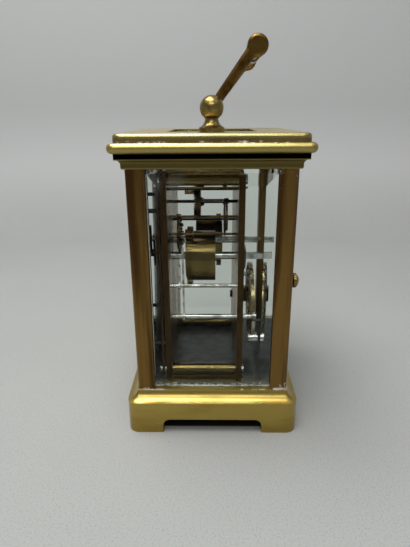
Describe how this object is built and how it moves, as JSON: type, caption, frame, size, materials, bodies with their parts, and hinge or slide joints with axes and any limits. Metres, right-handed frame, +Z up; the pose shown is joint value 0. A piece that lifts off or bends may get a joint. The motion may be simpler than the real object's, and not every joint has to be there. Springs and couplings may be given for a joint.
{
  "type": "carriage clock",
  "caption": "Small glazed brass table clock with moulded base and cornice, folding top handle, rear door and a geared striking movement.",
  "frame": {"origin": "middle of the clock's outline, on the surface it stands on", "axes": "+Z up, X along the width of the dial, the dial faces -Y and the door faces +Y"},
  "size_m": [0.0834, 0.0714, 0.1513],
  "materials": {
    "polished_brass": "worn polish with residue in the seams",
    "aged_brass": "brown patina",
    "movement_brass": "satin",
    "steel": "satin",
    "blued_steel": "blued",
    "enamel": "gloss vitreous enamel",
    "glass": "clear, bevelled"
  },
  "bodies": {
    "case": {"base": "polished_brass", "corner_pillars": "aged_brass", "cornice": "aged_brass", "top_frame": "aged_brass", "top_glass": "glass", "front_glass": "glass", "side_glass_left": "glass", "side_glass_right": "glass", "handle_posts": "polished_brass", "handle_screws": "steel", "case_screws": "steel", "movement_screws": "steel", "front_plate": "movement_brass", "back_plate": "movement_brass", "movement_pillars": "movement_brass", "plate_screws": "steel", "platform": "movement_brass", "platform_screws": "steel", "escape_bridge": "movement_brass", "balance_cock": "movement_brass", "hairspring": "blued_steel", "dial": "enamel", "minute_stud": "movement_brass", "gong": "steel", "gong_block": "movement_brass"},
    "handle": {"handle_arms": "aged_brass", "handle_grip": "aged_brass"},
    "door": {"door_frame": "aged_brass", "door_glass": "glass", "door_knob": "polished_brass", "door_pins": "steel"},
    "going_barrel_body": {"going_barrel": "movement_brass"},
    "centre_body": {"centre_wheel": "movement_brass", "centre_arbor": "steel"},
    "third_body": {"third_wheel": "movement_brass", "third_arbor": "steel"},
    "contrate_body": {"contrate_wheel": "movement_brass", "contrate_arbor": "steel"},
    "escape_body": {"escape_wheel": "steel", "escape_arbor": "steel"},
    "going_winding_body": {"going_winding_arbor": "steel", "going_ratchet": "steel"},
    "strike_winding_body": {"strike_winding_arbor": "steel", "strike_ratchet": "steel"},
    "going_click_body": {"going_click": "steel"},
    "strike_click_body": {"strike_click": "steel"},
    "strike_barrel_body": {"strike_barrel": "movement_brass"},
    "pin_wheel_body": {"pin_wheel": "movement_brass"},
    "warning_body": {"warning_wheel": "movement_brass"},
    "fly_body": {"fly": "steel"},
    "hammer_body": {"hammer": "steel"},
    "strike_release_body": {"strike_release": "steel"},
    "minute_hand_body": {"set_arbor": "steel", "minute_hand": "blued_steel"},
    "minute_wheel_body": {"minute_wheel": "movement_brass"},
    "hour_hand_body": {"hour_wheel": "movement_brass", "hour_hand": "blued_steel"},
    "balance_body": {"balance_wheel": "movement_brass"},
    "lever_body": {"lever": "steel"},
    "regulator_body": {"regulator": "steel"}
  },
  "joints": [
    {"name": "handle_swing", "type": "hinge", "parent": "case", "child": "handle", "pos_m": [0, 0, 0.1274], "axis": [-1, 0, 0], "range_deg": [-128.3, 51.7]},
    {"name": "door_swing", "type": "hinge", "parent": "case", "child": "door", "pos_m": [-0.0278, 0.0287, 0.06275], "axis": [0, 0, 1], "range_deg": [0, 95]},
    {"name": "third_turn", "type": "hinge", "parent": "case", "child": "third_body", "pos_m": [-0.00122, 0, 0.08159], "axis": [0, 1, 0], "continuous": true},
    {"name": "contrate_turn", "type": "hinge", "parent": "case", "child": "contrate_body", "pos_m": [0, 0, 0.0896], "axis": [0, 1, 0], "continuous": true},
    {"name": "escape_turn", "type": "hinge", "parent": "case", "child": "escape_body", "pos_m": [0, -0.00825, 0.1045], "axis": [0, 0, 1], "continuous": true},
    {"name": "centre_turn", "type": "hinge", "parent": "case", "child": "centre_body", "pos_m": [0, 0, 0.0731], "axis": [0, 1, 0], "continuous": true},
    {"name": "going_barrel_turn", "type": "hinge", "parent": "case", "child": "going_barrel_body", "pos_m": [-0.013, 0, 0.0691], "axis": [0, 1, 0], "continuous": true},
    {"name": "going_wind", "type": "hinge", "parent": "case", "child": "going_winding_body", "pos_m": [-0.013, 0, 0.0691], "axis": [0, 1, 0], "continuous": true},
    {"name": "strike_wind", "type": "hinge", "parent": "case", "child": "strike_winding_body", "pos_m": [0.013, 0, 0.0691], "axis": [0, 1, 0], "continuous": true},
    {"name": "going_click_lift", "type": "hinge", "parent": "case", "child": "going_click_body", "pos_m": [-0.01802, 0, 0.06353], "axis": [0, 1, 0], "range_deg": [0, 15], "stiffness_Nm_per_rad": 0.0002},
    {"name": "strike_click_lift", "type": "hinge", "parent": "case", "child": "strike_click_body", "pos_m": [0.01802, 0, 0.06353], "axis": [0, -1, 0], "range_deg": [0, 15], "stiffness_Nm_per_rad": 0.0002},
    {"name": "pin_wheel_turn", "type": "hinge", "parent": "case", "child": "pin_wheel_body", "pos_m": [0.0206, 0, 0.08037], "axis": [0, 1, 0], "continuous": true},
    {"name": "strike_barrel_turn", "type": "hinge", "parent": "case", "child": "strike_barrel_body", "pos_m": [0.013, 0, 0.0691], "axis": [0, 1, 0], "continuous": true},
    {"name": "warning_turn", "type": "hinge", "parent": "case", "child": "warning_body", "pos_m": [0.01941, 0, 0.08717], "axis": [0, 1, 0], "continuous": true},
    {"name": "fly_turn", "type": "hinge", "parent": "case", "child": "fly_body", "pos_m": [0.01674, 0, 0.09288], "axis": [0, 1, 0], "continuous": true},
    {"name": "hammer_swing", "type": "hinge", "parent": "case", "child": "hammer_body", "pos_m": [0.022, 0, 0.045], "axis": [0, 1, 0], "range_deg": [-12, 2], "stiffness_Nm_per_rad": 0.005},
    {"name": "release_swing", "type": "hinge", "parent": "case", "child": "strike_release_body", "pos_m": [0.025, 0, 0.06], "axis": [0, 1, 0], "range_deg": [-6, 6], "stiffness_Nm_per_rad": 0.001},
    {"name": "minute_hand_turn", "type": "hinge", "parent": "case", "child": "minute_hand_body", "pos_m": [0, 0, 0.0731], "axis": [0, 1, 0], "continuous": true},
    {"name": "minute_wheel_turn", "type": "hinge", "parent": "case", "child": "minute_wheel_body", "pos_m": [0.00509, 0, 0.06801], "axis": [0, 1, 0], "continuous": true},
    {"name": "hour_hand_turn", "type": "hinge", "parent": "case", "child": "hour_hand_body", "pos_m": [0, 0, 0.0731], "axis": [0, 1, 0], "continuous": true},
    {"name": "balance_swing", "type": "hinge", "parent": "case", "child": "balance_body", "pos_m": [0, 0.00155, 0.1045], "axis": [0, 0, 1], "range_deg": [-150, 150], "stiffness_Nm_per_rad": 0.0000026},
    {"name": "lever_swing", "type": "hinge", "parent": "case", "child": "lever_body", "pos_m": [0, -0.00365, 0.1045], "axis": [0, 0, 1], "range_deg": [-6, 6]},
    {"name": "regulator_swing", "type": "hinge", "parent": "case", "child": "regulator_body", "pos_m": [0, 0.00155, 0.1045], "axis": [0, 0, 1], "range_deg": [-20, 20]}
  ],
  "couplings": [
    {"joint": "contrate_turn", "follows": "third_turn", "ratio": -8},
    {"joint": "escape_turn", "follows": "third_turn", "ratio": 60},
    {"joint": "centre_turn", "follows": "third_turn", "ratio": -0.1},
    {"joint": "going_barrel_turn", "follows": "third_turn", "ratio": 0.013333},
    {"joint": "strike_barrel_turn", "follows": "pin_wheel_turn", "ratio": -0.13333},
    {"joint": "warning_turn", "follows": "pin_wheel_turn", "ratio": -6.6667},
    {"joint": "fly_turn", "follows": "pin_wheel_turn", "ratio": 40},
    {"joint": "minute_wheel_turn", "follows": "minute_hand_turn", "ratio": -0.33333},
    {"joint": "hour_hand_turn", "follows": "minute_hand_turn", "ratio": 0.083333}
  ]
}
